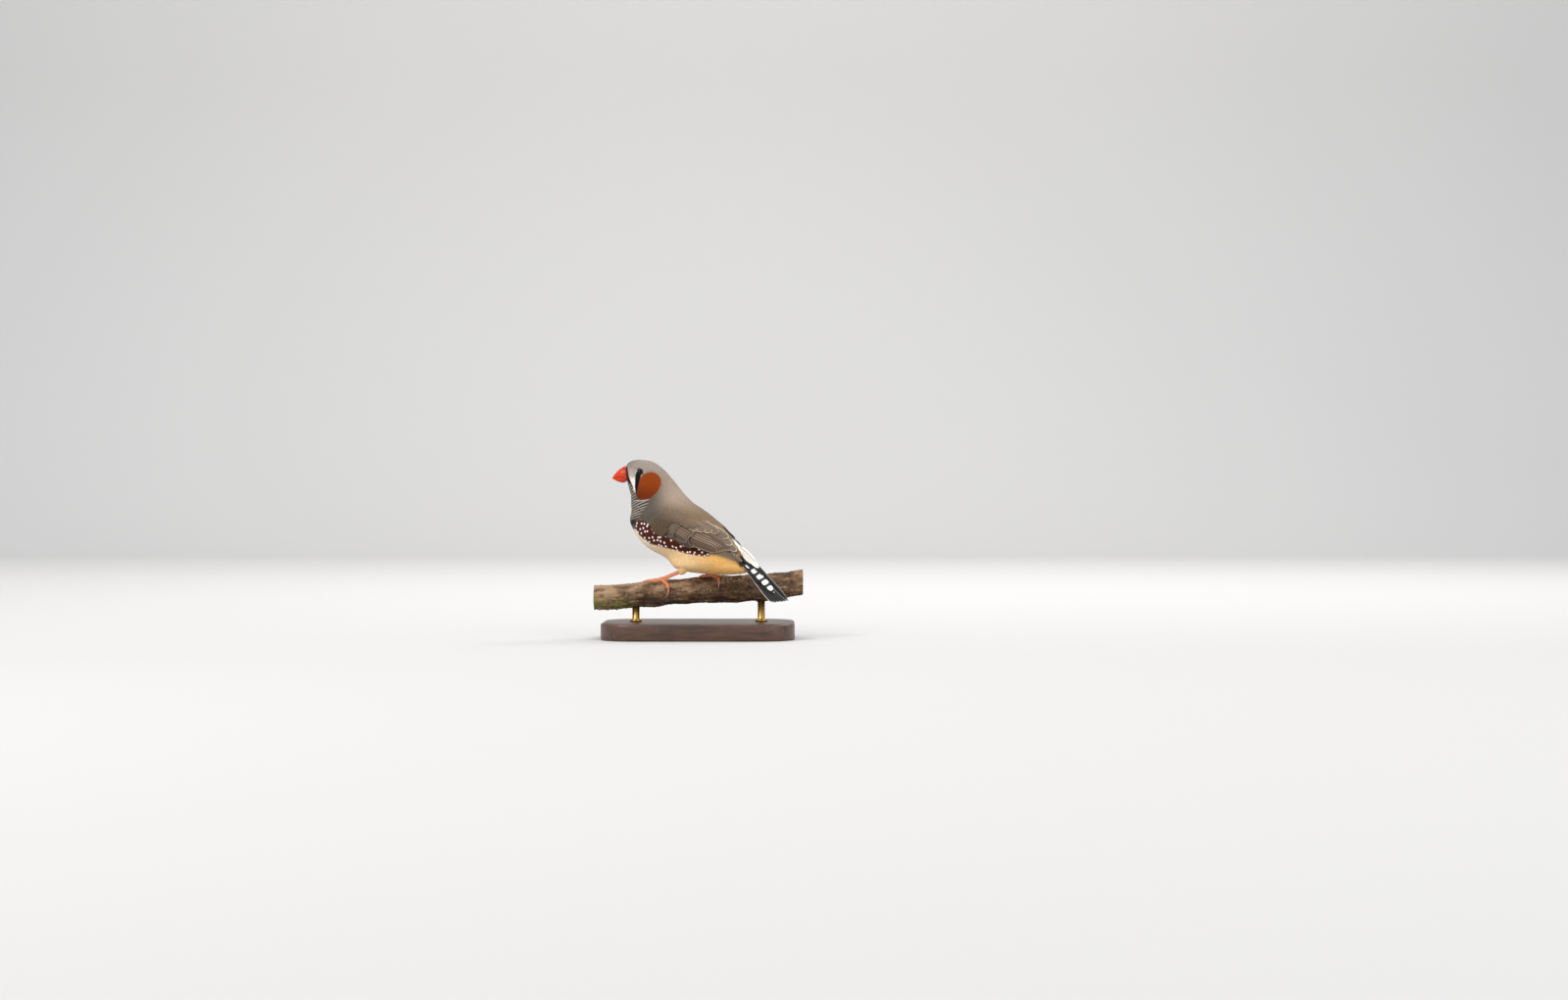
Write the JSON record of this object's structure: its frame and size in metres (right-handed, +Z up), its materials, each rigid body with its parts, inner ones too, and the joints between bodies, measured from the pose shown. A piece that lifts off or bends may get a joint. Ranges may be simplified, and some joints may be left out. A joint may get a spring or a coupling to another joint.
{
  "type": "perched songbird model",
  "caption": "Life-size zebra finch cock, perched head up with wings folded on a short cut branch that a flat base and short rods hold.",
  "frame": {"origin": "centre of the stand base's flat underside", "axes": "+Z up; X along the perch; the bird faces -X, its body turned 23 degrees towards +Y, and its left side shows towards -Y"},
  "size_m": [0.1, 0.056, 0.0854],
  "materials": {
    "grey_plumage": "soft matte body feathers, grey brown",
    "cream_plumage": "soft matte body feathers, cream to buff",
    "wing_feather": "satin flight feathers, grey brown with pale edges",
    "tail_feather": "satin flight feathers, blackish brown",
    "bill_horn": "glossy orange red horn",
    "eye": "wet gloss, dark red brown",
    "leg_skin": "scaly skin, orange",
    "claw_horn": "pale horn",
    "bark": "rough bark, grey brown",
    "stand_wood": "dark oiled hardwood, satin",
    "stand_brass": "satin brass rod"
  },
  "bodies": {
    "root": {"head": "grey_plumage", "neck": "grey_plumage", "torso": "cream_plumage", "thigh_left": "cream_plumage", "thigh_right": "cream_plumage", "wing_left": "wing_feather", "wing_right": "wing_feather", "tail": "tail_feather", "bill_upper": "bill_horn", "bill_lower": "bill_horn", "eye_left": "eye", "eye_right": "eye", "leg_left": "leg_skin", "leg_right": "leg_skin", "foot_left": "leg_skin", "foot_right": "leg_skin", "claw_left_hind": "claw_horn", "claw_left_inner": "claw_horn", "claw_left_middle": "claw_horn", "claw_left_outer": "claw_horn", "claw_right_hind": "claw_horn", "claw_right_inner": "claw_horn", "claw_right_middle": "claw_horn", "claw_right_outer": "claw_horn", "perch": "bark", "stand_base": "stand_wood", "stand_rod_left": "stand_brass", "stand_rod_right": "stand_brass"}
  },
  "joints": []
}
